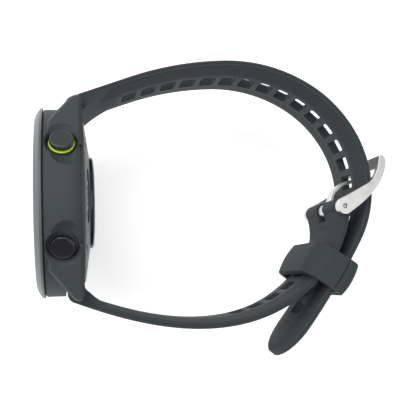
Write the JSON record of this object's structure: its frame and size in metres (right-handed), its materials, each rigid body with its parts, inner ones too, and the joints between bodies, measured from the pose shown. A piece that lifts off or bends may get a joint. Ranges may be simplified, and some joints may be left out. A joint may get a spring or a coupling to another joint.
{
  "type": "gps running watch",
  "caption": "Round sports watch with side buttons, a wrist sensor on its back and a slotted silicone strap closed by a steel tang buckle and a sliding keeper.",
  "frame": {"origin": "middle of the heart rate sensor's window on the case back, on its outer face", "axes": "+X out of the case back towards the wrist, +Y towards twelve o'clock, +Z towards three o'clock; the watch lies on its nine o'clock side"},
  "size_m": [0.0868, 0.0731, 0.0467],
  "materials": {
    "case_resin": "fine matt moulded",
    "bezel_resin": "satin",
    "strap_silicone": "soft matt",
    "display_glass": "polished",
    "button_dark": "satin",
    "button_gloss": "polished",
    "lime_accent": "satin",
    "steel": "bead blasted",
    "contact_metal": "plated",
    "gasket": "matt",
    "board": "solder mask",
    "cell": "foil",
    "copper": "bare",
    "brass": "bare",
    "emitter": "clear",
    "diode": "clear"
  },
  "bodies": {
    "watch_case": {"case_body": "case_resin", "bezel_ring": "bezel_resin", "display_glass": "display_glass", "display_gasket": "gasket", "display_panel": "display_glass", "main_board": "board", "inner_frame": "button_dark", "battery": "cell", "gps_antenna": "copper", "vibration_motor": "steel", "beeper_disc": "brass", "back_cover": "case_resin", "back_gasket": "gasket", "cover_screw_upper_right": "steel", "cover_screw_lower_right": "steel", "cover_screw_upper_left": "steel", "cover_screw_lower_left": "steel", "charge_contact_1": "contact_metal", "charge_contact_2": "contact_metal", "charge_contact_3": "contact_metal", "charge_contact_4": "contact_metal", "sensor_rim": "steel", "sensor_window": "display_glass", "sensor_board": "board", "green_led_upper": "emitter", "green_led_lower": "emitter", "photodiode_right": "diode", "photodiode_left": "diode", "start_switch": "diode", "back_switch": "diode", "light_switch": "diode", "up_switch": "diode", "down_switch": "diode", "upper_spring_bar": "steel", "lower_spring_bar": "steel"},
    "start_key": {"start_button": "button_dark", "start_button_clip": "steel", "start_button_ring": "lime_accent"},
    "back_key": {"back_button": "button_gloss", "back_button_clip": "steel"},
    "light_key": {"light_button": "button_dark", "light_button_clip": "steel"},
    "up_key": {"up_button": "button_dark", "up_button_clip": "steel"},
    "down_key": {"down_button": "button_dark", "down_button_clip": "steel"},
    "motor_rotor": {"motor_weight": "brass"},
    "upper_release": {"upper_release_pin": "steel"},
    "lower_release": {"lower_release_pin": "steel"},
    "tail_half": {"tail_strap": "strap_silicone"},
    "buckle_half": {"buckle_strap": "strap_silicone", "buckle_bar": "steel"},
    "buckle": {"buckle_frame": "steel"},
    "prong": {"buckle_prong": "steel"},
    "keeper": {"strap_keeper": "strap_silicone"}
  },
  "joints": [
    {"name": "start_press", "type": "slide", "parent": "watch_case", "child": "start_key", "axis": [0, -0.515, -0.8572], "range_m": [0, 0.0005], "stiffness_N_per_m": 1000, "springref_m": -0.0005},
    {"name": "back_press", "type": "slide", "parent": "watch_case", "child": "back_key", "axis": [0, 0.515, -0.8572], "range_m": [0, 0.0005], "stiffness_N_per_m": 1000, "springref_m": -0.0005},
    {"name": "light_press", "type": "slide", "parent": "watch_case", "child": "light_key", "axis": [0, -0.515, 0.8572], "range_m": [0, 0.0005], "stiffness_N_per_m": 1000, "springref_m": -0.0005},
    {"name": "up_press", "type": "slide", "parent": "watch_case", "child": "up_key", "axis": [0, 0, 1], "range_m": [0, 0.0005], "stiffness_N_per_m": 1000, "springref_m": -0.0005},
    {"name": "down_press", "type": "slide", "parent": "watch_case", "child": "down_key", "axis": [0, 0.515, 0.8572], "range_m": [0, 0.0005], "stiffness_N_per_m": 1000, "springref_m": -0.0005},
    {"name": "motor_spin", "type": "hinge", "parent": "watch_case", "child": "motor_rotor", "pos_m": [-0.00735, -0.01085, 0], "axis": [0, 0, 1], "continuous": true},
    {"name": "upper_pin_release", "type": "slide", "parent": "watch_case", "child": "upper_release", "axis": [0, 0, -1], "range_m": [0, 0.0012], "stiffness_N_per_m": 400, "springref_m": -0.001},
    {"name": "lower_pin_release", "type": "slide", "parent": "watch_case", "child": "lower_release", "axis": [0, 0, -1], "range_m": [0, 0.0012], "stiffness_N_per_m": 400, "springref_m": -0.001},
    {"name": "tail_hinge", "type": "hinge", "parent": "watch_case", "child": "tail_half", "pos_m": [-0.00445, 0.022, 0], "axis": [0, 0, 1], "range_deg": [-0.6, 0.6]},
    {"name": "buckle_strap_hinge", "type": "hinge", "parent": "watch_case", "child": "buckle_half", "pos_m": [-0.00445, -0.022, 0], "axis": [0, 0, 1], "range_deg": [-0.6, 0.6]},
    {"name": "buckle_turn", "type": "hinge", "parent": "buckle_half", "child": "buckle", "pos_m": [0.06047, -0.00293, 0], "axis": [0, 0, 1], "range_deg": [-4, 1.5]},
    {"name": "prong_turn", "type": "hinge", "parent": "buckle_half", "child": "prong", "pos_m": [0.06047, -0.00293, 0], "axis": [0, 0, 1], "range_deg": [-4, 1.5]},
    {"name": "keeper_slide", "type": "slide", "parent": "buckle_half", "child": "keeper", "axis": [-0.5537, -0.8327, 0], "range_m": [-0.0012, 0.0012]}
  ],
  "couplings": [
    {"joint": "buckle_strap_hinge", "follows": "tail_hinge", "ratio": 1},
    {"joint": "prong_turn", "follows": "buckle_turn", "ratio": 1}
  ]
}
